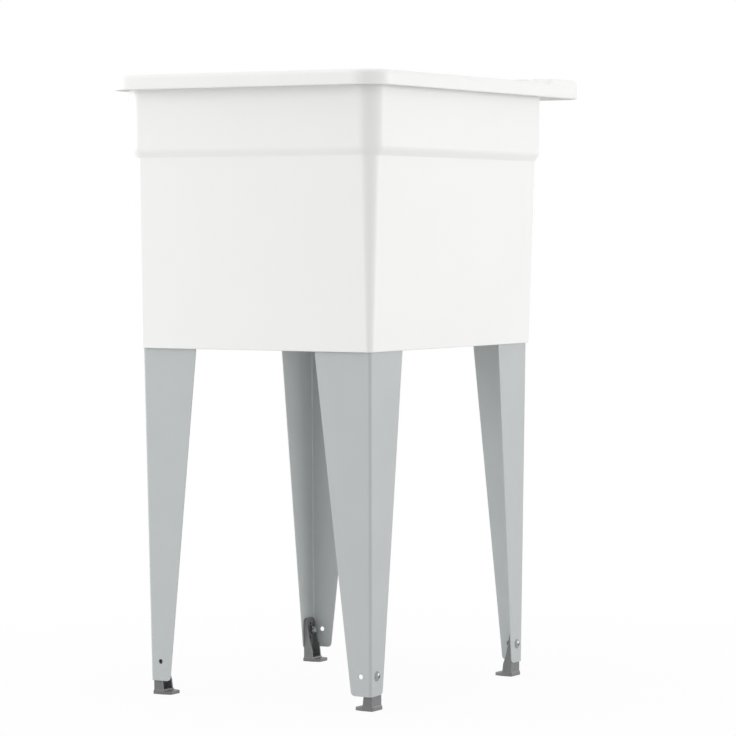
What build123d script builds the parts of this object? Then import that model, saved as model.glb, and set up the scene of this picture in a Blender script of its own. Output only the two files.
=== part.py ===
from build123d import *
import math
import os

# A floor-standing utility laundry sink, in millimetres.
# X points to the right, Y towards the wall and Z up.
# The origin is on the floor, under the middle of the rim.

# ---- Rim and tap ledge ----
rim_width = 438.0  # over the rim, left to right
rim_depth = 624.0  # front of the rim to the back of the tap ledge
rim_height = 865.0  # top of the rim above the floor
rim_corner = 38.0  # plan radius of the rim's corners
rim_round = 6.0  # edge radius along the top of the rim
fascia_height = 20.6  # turned-down edge of the rim
fascia_wall = 4.0
fascia_round = 1.8  # edge radius along the bottom of the fascia
ledge_depth = 108.0  # raised flat at the back, front to back
ledge_rise = 6.5  # ledge above the rim
ledge_ramp = 12.0  # length of the slope up to the ledge
ramp_round = 10.0

# ---- Tap holes in the ledge ----
tap_spacing = 101.6
tap_hole_r = 15.9
tap_from_back = 52.0  # hole centres from the back of the ledge
ledge_rib_wall = 3.0
ledge_rib_drop = 12.0
ledge_rib_offset = 102.0  # outer ribs, each side of the middle

# ---- Bowl walls ----
wall = 5.0  # deck, bowl, floor and skirt
front_overhang = 23.1  # rim beyond the wall below it, at the front
side_overhang = 15.7
back_overhang = 99.3
band_corner = 26.4  # plan radius at the top, which shrinks with each inset below
band_draft = 0.8
step_below_rim = 113.8  # top of the rim down to the foot of the step
step_height = 9.3
step_in = 7.6
step_round = 12.0
step_fillet = 3.0
tub_height = 378.2  # top of the rim down to the bottom edge
lower_draft = 8.5
skirt_corner = 8.5  # plan radius at the tub's bottom edge
skirt_round = 1.4

# ---- Inside of the bowl ----
floor_height = 48.2  # edge of the floor above the tub's bottom edge
floor_corner = 20.0  # plan radius at the floor, which grows with the walls above
floor_round = 18.0
floor_fall = 8.0  # fall from the edge of the floor to the drain
lip_round = 4.0
lip_flat = 2.0  # level strip between the lip and the step up to the ledge

# ---- Ribs under the floor ----
floor_rib_wall = 3.0
floor_rib_drop = 16.0
floor_rib_gap = 4.0  # rib ends clear of the drain's locknut

# ---- Legs: bent from sheet, parallel in their sockets, tapered below ----
leg_sheet = 1.5
leg_bend = 4.0  # outer bend radius
least_bend = 0.2  # smallest radius inside the bend
leg_top_width = 88.0
leg_bottom_width = 31.4
leg_corner = 6.0  # rounded corners at the bottom of each flange
leg_in_socket = 40.0
leg_side_inset = 3.9  # leg's outer faces in from the tub's bottom edge, at the sides
leg_end_inset = 5.6  # and at the front and back
side_lean = 0.66  # degrees, outwards at the top
front_lean = 1.32
back_lean = 0.32
socket_wall = 4.0
socket_clearance = 0.15
socket_end_gap = 0.05
socket_land = 2.0  # socket mouth above the tub's bottom edge

# ---- Feet ----
foot_extension = 19.6  # bottom of the leg above the floor
foot_width = 26.0
foot_shift = 1.2  # middle of the foot beyond its screw, away from the leg's corner
foot_web = 3.0
foot_cheek = 2.5
foot_top = 64.5  # top of the web above the floor
foot_depth_low = 14.8  # cheek depth at the base
foot_depth_ankle = 13.3  # cheek depth at the ankle
foot_depth_high = 9.0  # cheek depth at the shoulder
foot_ankle = 18.0  # ankle above the floor
foot_shoulder = 30.0  # shoulder above the floor
foot_round = 20.0  # cheek edge radius at the ankle and the shoulder
foot_web_top_round = 6.0
base_thickness = 4.6
base_reach = 27.2  # base from the web's outer face, inwards
base_outside = 1.4  # base beyond the web's outer face
base_side = 1.4  # base beyond the cheeks
base_toe_width = 22.2  # width of the base at its inner end
base_corner = 1.5
base_round = 0.5  # edge radius along the top of the plate
collar_height = 2.0  # sloping collar where the upright meets the plate
collar_low = 0.8  # collar beyond the upright at the plate
collar_high = 0.2  # collar beyond the upright at its top
foot_raise = 10.0  # travel of the foot up and down its leg
foot_drop = 8.0
foot_gap = 0.1  # foot to leg, and foot to washer

# ---- Foot screws, washers and nuts ----
screw_r = 3.175
screw_hole_r = 3.4
screw_hole_in = 16.5  # hole centres in from the leg's outer faces
screw_hole_up = 27.0  # hole centres above the leg's bottom
screw_length = 15.9
screw_head_r = 6.8
screw_head_height = 3.6
screw_driver_width = 1.3
screw_driver_depth = 1.8
slot_clearance = 0.275
washer_r = 7.9
washer_hole_r = 3.5
washer_thickness = 1.2
nut_across = 11.1
nut_height = 5.6
nut_thread_gap = 0.03

# ---- Drain ----
drain_flange_r = 38.0
drain_flange_thickness = 2.5
drain_flange_gap = 0.5
drain_tail_r = 23.9
drain_bore_r = 19.5
drain_seat_r = 21.6  # mouth of the stopper's seat
drain_seat_depth = 13.0
drain_groove_r = 22.5  # groove between the locknut's thread and the outlet's
drain_groove_height = 2.0
drain_groove_drop = 0.5  # thread left between the locknut and the groove
drain_outlet_length = 21.5  # thread below the groove, for the waste pipe's nut
drain_hole_gap = 0.5
drain_bar_width = 3.5
drain_bar_height = 4.0
drain_bars = 2
drain_hub_r = 5.0
boss_r = 37.0
gasket_r = 33.0
gasket_thickness = 3.5
drain_washer_r = 32.0
drain_washer_thickness = 1.5
ring_gap = 0.3  # gasket and washer around the tail
locknut_across = 62.0
locknut_height = 10.0
locknut_gap = 0.03

# ---- Stopper ----
stopper_gap = 0.3
stopper_disc_r = 25.0
stopper_disc_thickness = 3.0
stopper_plug_length = 11.0
stopper_neck_r = 4.0
stopper_neck_height = 8.0
stopper_knob_r = 9.0
stopper_knob_thickness = 6.0

# ---- Heights and places worked out from the sizes above ----
overlap = 1.0  # how far solids run into each other before they are joined
same_height = 0.01  # edges closer than this to a height lie at it
least_corner = 1.0  # smallest plan radius of the body
ledge_z = rim_height + ledge_rise
fascia_z = rim_height - fascia_height
lip_z = rim_height - step_below_rim + step_height
step_z = rim_height - step_below_rim
skirt_z = rim_height - tub_height
floor_z = skirt_z + floor_height
drain_z = floor_z - floor_fall
flange_seat_z = drain_z - drain_flange_thickness
boss_z = flange_seat_z - wall
gasket_z = boss_z - gasket_thickness
drain_washer_z = gasket_z - drain_washer_thickness
locknut_z = drain_washer_z - locknut_height
groove_top_z = locknut_z - drain_groove_drop
outlet_z = groove_top_z - drain_groove_height
tail_z = outlet_z - drain_outlet_length
body_width = rim_width - 2 * side_overhang
body_depth = rim_depth - front_overhang - back_overhang
body_mid = -rim_depth / 2 + front_overhang + body_depth / 2
skirt_inset = step_in + lower_draft
floor_inset = step_in + lower_draft * (step_z - floor_z) / (step_z - skirt_z) + wall
bowl_corner = floor_corner + floor_inset
drain_hole_r = drain_tail_r + drain_hole_gap
drain_recess_r = drain_flange_r + drain_flange_gap
drain_flat_r = drain_recess_r + wall
leg_x = body_width / 2 - skirt_inset - leg_side_inset
leg_y = body_depth / 2 - skirt_inset - leg_end_inset
leg_drop = skirt_z - foot_extension
hole_drop = leg_drop - screw_hole_up
web_outer = leg_sheet + foot_gap
washer_seat = web_outer + foot_web + foot_gap
slot_r = screw_r + slot_clearance


def lower_inset(z):
    """Inset of the drafted lower wall's outer face at height z."""
    return step_in + lower_draft * (step_z - z) / (step_z - skirt_z)


def band_inset(z):
    """Inset of the upper band's outer face at height z."""
    return band_draft * (ledge_z - z) / (ledge_z - lip_z)


def ring(inset, z, corner=band_corner):
    """Outline of the body at height z, set in from the band, with concentric corners."""
    width = body_width - 2 * inset
    depth = body_depth - 2 * inset
    return Pos(0, body_mid, z) * RectangleRounded(width, depth, max(corner - inset, least_corner))


def taper(inset_a, z_a, inset_b, z_b, corner=band_corner):
    """Straight taper between two outlines of the body."""
    return loft([ring(inset_a, z_a, corner), ring(inset_b, z_b, corner)], ruled=True)


def edges_at(solid, z):
    """Edges of a solid that lie wholly at height z."""
    return solid.edges().filter_by_position(Axis.Z, z - same_height, z + same_height)


# ---- Tub ----
def rim_block(inset, drop, bottom):
    """The rim's outline pulled up to the rim and the raised ledge."""
    plan = RectangleRounded(rim_width - 2 * inset, rim_depth - 2 * inset, rim_corner - inset)
    block = extrude(Pos(0, 0, bottom) * plan, ledge_z - drop - bottom)
    front = -rim_depth / 2 - overlap
    ledge_front = rim_depth / 2 - ledge_depth
    above = Polyline(
        (front, rim_height - drop),
        (ledge_front - ledge_ramp, rim_height - drop),
        (ledge_front, ledge_z - drop),
        (ledge_front, ledge_z + ledge_rise),
        (front, ledge_z + ledge_rise),
        close=True,
    )
    cutter = extrude(Plane.YZ * make_face(above), rim_width, both=True)
    return block - cutter


def crosses_top(edge):
    """Whether an edge runs across the rim, at the ramp, and not along its front or back."""
    wide = edge.bounding_box().size.X > rim_width / 2
    return wide and abs(edge.center().Y) < rim_depth / 2 - overlap


def make_rim():
    """Turned-down rim with the raised ledge, open underneath."""
    outer = rim_block(0, 0, fascia_z)
    outer = fillet(outer.edges().filter_by(crosses_top), ramp_round)
    upper = outer.edges().filter_by(lambda edge: edge.bounding_box().min.Z > fascia_z + overlap)
    outer = fillet(upper.filter_by(lambda edge: not crosses_top(edge)), rim_round)
    outer = fillet(edges_at(outer, fascia_z), fascia_round)
    return outer - rim_block(fascia_wall, wall, fascia_z - overlap)


def body_block():
    """Band, step and drafted lower wall, as one solid block."""
    block = taper(0, ledge_z, band_draft, lip_z)
    block = block + taper(band_draft, lip_z, step_in, step_z)
    edge = ring(skirt_inset, skirt_z, skirt_corner + skirt_inset)
    block = block + loft([ring(step_in, step_z), edge], ruled=True)
    block = fillet(edges_at(block, lip_z), step_round)
    block = fillet(edges_at(block, step_z), step_fillet)
    block = fillet(edges_at(block, skirt_z), skirt_round)
    return block & rim_block(0, 0, skirt_z - overlap)


def floor_funnel():
    """The floor's fall from its edge to the flat around the drain."""
    side = 2 * drain_flat_r + overlap
    flat = Pos(0, body_mid, drain_z) * RectangleRounded(side, side, drain_flat_r)
    edge = ring(floor_inset + floor_round, floor_z, bowl_corner + floor_round)
    return loft([edge, flat], ruled=True)


def bowl_space():
    """Everything that is open inside the bowl."""
    top_z = ledge_z + overlap
    space = taper(wall + band_inset(top_z), top_z, band_draft + wall, lip_z, bowl_corner)
    space = space + taper(band_draft + wall, lip_z, step_in + wall, step_z, bowl_corner)
    space = space + taper(step_in + wall, step_z, floor_inset, floor_z, bowl_corner)
    return fillet(edges_at(space, floor_z), floor_round) + floor_funnel()


def lip_outline(z):
    """Outline of the level frame around the bowl's mouth."""
    return ring(wall - lip_round - lip_flat, z, bowl_corner)


def make_lip():
    """Level frame around the bowl's mouth, rounded over into the bowl."""
    bottom = rim_height - wall
    mouth = ring(wall + band_inset(bottom), bottom, bowl_corner)
    frame = extrude(lip_outline(bottom), wall) - extrude(mouth, wall)
    top = frame.faces().sort_by(Axis.Z)[-1]
    return fillet(top.inner_wires()[0].edges(), lip_round)


def make_shell():
    """Rim, ledge and walls of the tub, open at the bowl."""
    shell = make_rim() + body_block()
    room = extrude(lip_outline(rim_height - wall), wall + ledge_rise + overlap)
    return shell - room - bowl_space() + make_lip()


def skirt_space():
    """Everything that is open under the floor, before the ribs and sockets."""
    top_z = floor_z - wall
    mouth = extrude(ring(skirt_inset + wall, skirt_z - overlap), overlap)
    space = taper(lower_inset(top_z) + wall, top_z, skirt_inset + wall, skirt_z) + mouth
    boss = Pos(0, body_mid, boss_z) * extrude(Circle(boss_r), floor_z - boss_z)
    return space - Pos(0, 0, -wall) * floor_funnel() - boss


def floor_ribs():
    """Crossed ribs under the floor, from the drain to the skirt."""
    bottom = floor_z - wall - floor_rib_drop
    height = floor_z - bottom
    start = locknut_across / math.sqrt(3) + floor_rib_gap
    ribs = []
    for turn in (0, 90, 180, 270):
        span = body_depth / 2 if turn in (90, 270) else body_width / 2
        end = span - lower_inset(bottom) - wall / 2
        bar = Box(end - start, floor_rib_wall, height, align=(Align.MIN, Align.CENTER, Align.MIN))
        ribs.append(Pos(0, body_mid, bottom) * Rot(0, 0, turn) * Pos(start, 0, 0) * bar)
    return ribs


def ledge_ribs():
    """Ribs under the tap ledge, from the back wall to the fascia."""
    depth = back_overhang - fascia_wall / 2 + wall / 2
    top = ledge_z - wall / 2
    bottom = ledge_z - wall - ledge_rib_drop
    bar = Box(ledge_rib_wall, depth, top - bottom, align=(Align.CENTER, Align.MAX, Align.MIN))
    back = rim_depth / 2 - fascia_wall / 2
    return [Pos(x, back, bottom) * bar for x in (-ledge_rib_offset, 0, ledge_rib_offset)]


def angle_section(grow):
    """L-section of a leg at full width, with its outer corner at the origin."""
    outer = leg_top_width + grow
    inner = leg_sheet + grow
    section = make_face(
        Polyline(
            (-grow, -grow),
            (outer, -grow),
            (outer, inner),
            (inner, inner),
            (inner, outer),
            (-grow, outer),
            close=True,
        )
    )
    section = fillet(section.vertices().sort_by_distance((-grow, -grow, 0))[0], leg_bend + grow)
    inner_bend = max(leg_bend - leg_sheet - grow, least_bend)
    return fillet(section.vertices().sort_by_distance((inner, inner, 0))[0], inner_bend)


def socket_block():
    """Ribs that close a leg socket, in the leg's own frame."""
    outer = leg_top_width + socket_wall
    inner = leg_sheet + socket_wall
    edge = -max(leg_side_inset, leg_end_inset) - lower_draft
    section = make_face(
        Polyline(
            (edge, edge),
            (outer, edge),
            (outer, inner),
            (inner, inner),
            (inner, outer),
            (edge, outer),
            close=True,
        )
    )
    return extrude(Pos(0, 0, -leg_in_socket) * section, 2 * leg_in_socket + wall)


def socket_space():
    """Slot for one leg, in the leg's own frame."""
    depth = leg_in_socket + socket_end_gap
    return extrude(Pos(0, 0, -leg_in_socket) * angle_section(socket_clearance), depth + leg_in_socket)


def leg_place(side, end):
    """Frame of a leg: its outer corner at the tub's bottom edge, leaning with the leg.

    side is -1 on the left and 1 on the right, and end is -1 at the front and 1 at the back.
    """
    lean = front_lean if end < 0 else back_lean
    turn = {(-1, -1): 0, (1, -1): 90, (1, 1): 180, (-1, 1): 270}[side, end]
    corner = Pos(side * leg_x, body_mid + end * leg_y, skirt_z)
    return corner * Rot(-end * lean, 0, 0) * Rot(0, side * side_lean, 0) * Rot(0, 0, turn)


def make_tub(corners):
    """The moulded tub: rim, ledge, bowl, skirt, ribs and leg sockets."""
    space = skirt_space()
    zone_z = skirt_z + socket_land
    zone_height = floor_z - wall / 2 - zone_z
    zone = Pos(0, body_mid, zone_z) * extrude(Rectangle(body_width, body_depth), zone_height)
    for place in corners:
        space = space - (place * socket_block() & zone)
    for rib in floor_ribs():
        space = space - rib
    tub = make_shell() - space
    for rib in ledge_ribs():
        tub = tub + rib
    for place in corners:
        tub = tub - place * socket_space()
    hole = Pos(0, body_mid, skirt_z) * extrude(Circle(drain_hole_r), floor_z - skirt_z)
    recess = Pos(0, body_mid, flange_seat_z) * extrude(Circle(drain_recess_r), floor_z - flange_seat_z)
    tub = tub - hole - recess
    for x in (-tap_spacing / 2, tap_spacing / 2):
        bore = extrude(Circle(tap_hole_r), ledge_z + overlap - fascia_z)
        tub = tub - Pos(x, rim_depth / 2 - tap_from_back, fascia_z) * bore
    return tub


# ---- Legs ----
def flange_waste():
    """Sheet cut away from one flange: the taper, the round corner and the screw hole."""
    flange = make_face(
        Polyline(
            (0, leg_in_socket + overlap),
            (leg_top_width, leg_in_socket + overlap),
            (leg_top_width, 0),
            (leg_bottom_width, -leg_drop),
            (0, -leg_drop),
            close=True,
        )
    )
    corner = flange.vertices().sort_by_distance((leg_bottom_width, -leg_drop, 0))[0]
    flange = fillet(corner, leg_corner)
    reach = leg_top_width + overlap
    height = leg_drop + leg_in_socket + overlap
    sheet = Pos(reach / 2, leg_in_socket + overlap - height / 2) * Rectangle(reach, height)
    return sheet - flange + Pos(screw_hole_in, -hole_drop) * Circle(screw_hole_r)


def make_leg():
    """One angle leg in its own frame; all four legs are the same part."""
    waste = flange_waste()
    front = extrude(Plane.XZ * waste, -leg_sheet - overlap)
    side = extrude(Plane.YZ * waste, leg_sheet + overlap)
    blank = extrude(Pos(0, 0, -leg_drop) * angle_section(0), leg_drop + leg_in_socket)
    return blank - front - side


# ---- Feet ----
def side_frame(side, end):
    """Frame of the foot and its screw on a leg.

    X points inwards through the leg's left or right flange from its outer face, Y along that
    flange, and Z up the leg from the screw's axis.
    """
    lean = front_lean if end < 0 else back_lean
    corner = Pos(side * leg_x, body_mid + end * leg_y, skirt_z)
    leaning = corner * Rot(-end * lean, 0, 0) * Rot(0, side * side_lean, 0)
    return leaning * Pos(0, -end * screw_hole_in, -hole_drop) * Rot(0, 0, 0 if side < 0 else 180)


def foot_upright(away):
    """Slotted web and its two cheeks, in the frame of the screw.

    away is 1 or -1, the way along Y that leads from the leg's corner.
    """
    low = -screw_hole_up - foot_extension + base_thickness / 2
    top = foot_top - foot_extension - screw_hole_up
    ankle = foot_ankle - foot_extension - screw_hole_up
    shoulder = foot_shoulder - foot_extension - screw_hole_up
    cheek = make_face(
        Polyline(
            (0, low),
            (foot_depth_low, low),
            (foot_depth_ankle, ankle),
            (foot_depth_high, shoulder),
            (foot_web, top),
            (0, top),
            close=True,
        )
    )
    bends = [(foot_depth_ankle, ankle, 0), (foot_depth_high, shoulder, 0)]
    cheek = fillet([cheek.vertices().sort_by_distance(bend)[0] for bend in bends], foot_round)
    upright = extrude(Plane.XZ * cheek, foot_width / 2, both=True)
    tops = upright.edges().filter_by(Axis.X).group_by(Axis.Z)[-1]
    upright = fillet(tops, foot_web_top_round)
    channel_width = foot_width - 2 * foot_cheek
    channel_align = (Align.MIN, Align.CENTER, Align.MIN)
    channel = Box(foot_depth_low, channel_width, top - low + overlap, align=channel_align)
    slot_mid = (foot_drop - foot_raise) / 2
    slot = SlotCenterToCenter(foot_drop + foot_raise, slot_r * 2)
    slot_cut = extrude(Plane.YZ * Pos(0, slot_mid) * Rot(0, 0, 90) * slot, foot_web + overlap)
    upright = Pos(0, away * foot_shift, 0) * (upright - Pos(foot_web, 0, low - overlap / 2) * channel)
    return Pos(web_outer, 0, 0) * (upright - slot_cut)


def foot_base(side, end):
    """Base plate, level on the floor, with a sloping collar at the foot of the upright.

    The plate's sides are parallel beside the upright and draw in beyond it.
    """
    half = foot_width / 2 + base_side
    toe = base_toe_width / 2
    outline = make_face(
        Polyline(
            (-base_outside, -half),
            (foot_depth_low, -half),
            (base_reach, -toe),
            (base_reach, toe),
            (foot_depth_low, half),
            (-base_outside, half),
            close=True,
        )
    )
    outline = fillet(outline.vertices(), base_corner)
    plate = extrude(outline, base_thickness, dir=(0, 0, 1))
    plate = fillet(plate.edges().group_by(Axis.Z)[-1], base_round)
    low = Rectangle(foot_depth_low + 2 * collar_low, foot_width + 2 * collar_low)
    high = Rectangle(foot_depth_low + 2 * collar_high, foot_width + 2 * collar_high)
    collar = loft([low, Pos(0, 0, collar_height) * high], ruled=True)
    collar = Pos(foot_depth_low / 2, 0, base_thickness) * collar
    foot_middle = Pos(web_outer, side * end * foot_shift, -screw_hole_up - foot_extension)
    at = (side_frame(side, end) * foot_middle).position
    return Pos(at.X, at.Y, 0) * Rot(0, 0, 90 * (1 + side)) * (plate + collar)


def make_foot(side, end):
    """One levelling foot: an upright that follows the leg, on a level base."""
    return side_frame(side, end) * foot_upright(side * end) + foot_base(side, end)


# ---- Screws, washers and nuts of the feet, in the frame of the screw ----
def make_screw():
    """Round-head screw whose head lies on the leg's outer face."""
    crown = (-screw_head_height, 0)
    brim = (0, screw_head_r)
    dome_r = (screw_head_r**2 + screw_head_height**2) / (2 * screw_head_height)
    half = make_face(Line((0, 0), brim) + RadiusArc(brim, crown, -dome_r) + Line(crown, (0, 0)))
    head = revolve(half, Axis.X)
    shank = extrude(Plane.YZ * Circle(screw_r), screw_length)
    recess = Pos(-screw_head_height, 0, 0) * (
        Box(2 * screw_driver_depth, screw_driver_width, screw_head_r)
        + Box(2 * screw_driver_depth, screw_head_r, screw_driver_width)
    )
    return head + shank - recess


def make_washer():
    """Flat washer that spans the foot's slot."""
    section = Circle(washer_r) - Circle(washer_hole_r)
    return Pos(washer_seat, 0, 0) * extrude(Plane.YZ * section, washer_thickness)


def make_nut():
    """Hexagon nut on the end of the screw."""
    section = RegularPolygon(nut_across / 2, 6, major_radius=False) - Circle(screw_r + nut_thread_gap)
    return Pos(washer_seat + washer_thickness, 0, 0) * extrude(Plane.YZ * section, nut_height)


# ---- Drain ----
def drain_profile(points):
    """Solid turned about the drain's axis from radius and height points."""
    return Pos(0, body_mid, 0) * revolve(Plane.XZ * make_face(Polyline(*points, close=True)), Axis.Z)


def make_drain_body():
    """Strainer flange, stopper seat, crossbars and threaded tail."""
    seat_z = drain_z - drain_seat_depth
    shell = drain_profile(
        (
            (drain_bore_r, tail_z),
            (drain_tail_r, tail_z),
            (drain_tail_r, outlet_z),
            (drain_groove_r, outlet_z),
            (drain_groove_r, groove_top_z),
            (drain_tail_r, groove_top_z),
            (drain_tail_r, flange_seat_z),
            (drain_flange_r, flange_seat_z),
            (drain_flange_r, drain_z),
            (drain_seat_r, drain_z),
            (drain_bore_r, seat_z),
        )
    )
    rim = shell.edges().group_by(Axis.Z)[-1].sort_by(SortBy.LENGTH)[-1]
    shell = fillet(rim, drain_flange_thickness / 2)
    bars = extrude(Circle(drain_hub_r), drain_bar_height)
    bar_length = drain_bore_r + drain_tail_r  # ends inside the wall of the tail
    bar_align = (Align.CENTER, Align.CENTER, Align.MIN)
    bar = Box(bar_length, drain_bar_width, drain_bar_height, align=bar_align)
    for index in range(drain_bars):
        bars = bars + Rot(0, 0, index * 180 / drain_bars) * bar
    return shell + Pos(0, body_mid, seat_z - drain_bar_height - stopper_gap) * bars


def drain_ring(radius, thickness, z):
    """Flat ring around the drain's tail."""
    return Pos(0, body_mid, z) * extrude(Circle(radius) - Circle(drain_tail_r + ring_gap), thickness)


def make_locknut():
    """Large hexagon nut that clamps the drain to the floor."""
    section = RegularPolygon(locknut_across / 2, 6, major_radius=False) - Circle(drain_tail_r + locknut_gap)
    return Pos(0, body_mid, locknut_z) * extrude(section, locknut_height)


def make_stopper():
    """Rubber stopper: a tapered plug under a disc, with a knob to lift it by."""
    disc_z = drain_z + stopper_gap
    top_z = disc_z + stopper_disc_thickness
    neck_z = top_z + stopper_neck_height
    taper = (drain_seat_r - drain_bore_r) / drain_seat_depth
    return drain_profile(
        (
            (0, drain_z - stopper_plug_length),
            (drain_seat_r - stopper_gap - taper * stopper_plug_length, drain_z - stopper_plug_length),
            (drain_seat_r - stopper_gap, disc_z),
            (stopper_disc_r, disc_z),
            (stopper_disc_r, top_z),
            (stopper_neck_r, top_z),
            (stopper_neck_r, neck_z),
            (stopper_knob_r, neck_z),
            (stopper_knob_r, neck_z + stopper_knob_thickness),
            (0, neck_z + stopper_knob_thickness),
        )
    )


def main():
    """Build every sub-part and write one STEP file for each."""
    os.makedirs("parts", exist_ok=True)
    corners = {
        "front_left": (-1, -1),
        "front_right": (1, -1),
        "back_left": (-1, 1),
        "back_right": (1, 1),
    }
    frames = {name: side_frame(*corner) for name, corner in corners.items()}
    nodes = {"tub": make_tub([leg_place(*corner) for corner in corners.values()])}
    leg = make_leg()
    for name, corner in corners.items():
        nodes["leg_" + name] = leg_place(*corner) * leg
        nodes["foot_" + name] = make_foot(*corner)
    for name, piece in (("screws", make_screw()), ("washers", make_washer()), ("nuts", make_nut())):
        nodes["foot_" + name] = Compound(children=[frame * piece for frame in frames.values()])
    nodes["drain_body"] = make_drain_body()
    nodes["drain_gasket"] = drain_ring(gasket_r, gasket_thickness, gasket_z)
    nodes["drain_washer"] = drain_ring(drain_washer_r, drain_washer_thickness, drain_washer_z)
    nodes["drain_locknut"] = make_locknut()
    nodes["drain_stopper"] = make_stopper()
    for name, shape in nodes.items():
        export_step(shape, os.path.join("parts", name + ".step"))
        print(name, "volume", round(shape.volume))


main()
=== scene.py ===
"""Looks of a floor-standing utility laundry sink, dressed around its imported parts.

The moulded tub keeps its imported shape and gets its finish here. The legs, feet, screws,
washers, nuts, drain and stopper are modelled again with the edges, threads and recesses of
the real pieces. Places are in metres in the sink's own frame: X to the right seen from the
front, Y towards the wall and Z up from the floor.
"""
import logging
import math
from contextlib import contextmanager
from dataclasses import dataclass
from enum import Enum
from functools import cache
from typing import Callable, Iterator, Self, Sequence

import bmesh
import bpy
from mathutils import Matrix, Vector


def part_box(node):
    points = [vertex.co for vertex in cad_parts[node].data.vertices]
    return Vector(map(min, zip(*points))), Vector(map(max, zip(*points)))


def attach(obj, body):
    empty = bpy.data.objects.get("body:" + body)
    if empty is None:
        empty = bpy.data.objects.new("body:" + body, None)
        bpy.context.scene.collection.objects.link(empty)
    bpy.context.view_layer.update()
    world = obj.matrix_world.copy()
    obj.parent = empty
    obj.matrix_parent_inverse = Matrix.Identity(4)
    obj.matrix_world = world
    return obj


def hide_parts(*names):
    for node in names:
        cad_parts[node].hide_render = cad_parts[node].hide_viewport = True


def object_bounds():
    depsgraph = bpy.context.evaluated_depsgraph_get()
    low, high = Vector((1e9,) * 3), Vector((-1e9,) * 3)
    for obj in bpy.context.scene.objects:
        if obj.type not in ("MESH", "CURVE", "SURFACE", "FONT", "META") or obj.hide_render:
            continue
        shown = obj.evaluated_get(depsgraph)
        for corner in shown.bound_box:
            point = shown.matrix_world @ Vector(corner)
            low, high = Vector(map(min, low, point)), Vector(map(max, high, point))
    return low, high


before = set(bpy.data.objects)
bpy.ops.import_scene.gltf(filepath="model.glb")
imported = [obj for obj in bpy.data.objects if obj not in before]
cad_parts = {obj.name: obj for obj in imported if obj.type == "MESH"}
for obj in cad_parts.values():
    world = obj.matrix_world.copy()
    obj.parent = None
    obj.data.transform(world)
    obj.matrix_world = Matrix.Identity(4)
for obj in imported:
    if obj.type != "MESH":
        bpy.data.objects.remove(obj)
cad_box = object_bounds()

MM = 0.001
FULL_TURN = 2 * math.pi
SAME_PLACE = 0.01 * MM  # points closer than this are the same
SEAM = 0.001 * MM  # doubles closer than this are merged
SAWN = 0.0001 * MM  # points closer than this to a saw cut lie on it
MARGIN = 1.0 * MM  # how far a cutter reaches past what it cuts
FACING = 0.99  # a face looks along an axis when its normal has this share along it
EASE_STEPS = 4  # steps across a rounded corner
EDGE_STEPS = 2  # steps across an edge that is only taken off
SMOOTH_ANGLE = math.radians(35)
log = logging.getLogger("laundry_sink")

Place = Sequence[float]  # a point or a step, as X, Y and Z


class Corner(Enum):
    """A corner of the sink: -1 or 1 for its side, left or right, and its end, front or back."""

    FRONT_LEFT = (-1, -1)
    FRONT_RIGHT = (1, -1)
    BACK_LEFT = (-1, 1)
    BACK_RIGHT = (1, 1)

    @property
    def side(self) -> int:
        """-1 on the left and 1 on the right."""
        return self.value[0]

    @property
    def end(self) -> int:
        """-1 at the front and 1 at the back."""
        return self.value[1]

    @property
    def label(self) -> str:
        """The corner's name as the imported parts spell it."""
        return self.name.lower()


# ---- The bench: modelling by hand, in code ----
class Axis(Enum):
    """The axis that a rod stands along: its direction, and the turn that puts a rod there."""

    X = ((1, 0, 0), (0, math.pi / 2, 0))
    Y = ((0, 1, 0), (math.pi / 2, 0, 0))
    Z = ((0, 0, 1), (0, 0, 0))


def near(point: Vector, place: Place) -> bool:
    """Whether a point lies at a place."""
    return (point - Vector(place)).length < SAME_PLACE


def level(*values: float) -> bool:
    """Whether all the values are the same."""
    return max(values) - min(values) < SAME_PLACE


def select_only(obj: bpy.types.Object) -> None:
    """Leave one object selected and active.

    Args:
        obj: The object to work on.
    """
    bpy.ops.object.select_all(action="DESELECT")
    obj.select_set(True)
    bpy.context.view_layer.objects.active = obj


@dataclass(frozen=True)
class Turn:
    """A corner of a turned profile.

    Args:
        r: Its radius.
        z: Its height.
        ease: How far it is rounded back along each of its sides.
    """

    r: float
    z: float
    ease: float = 0.0


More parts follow.
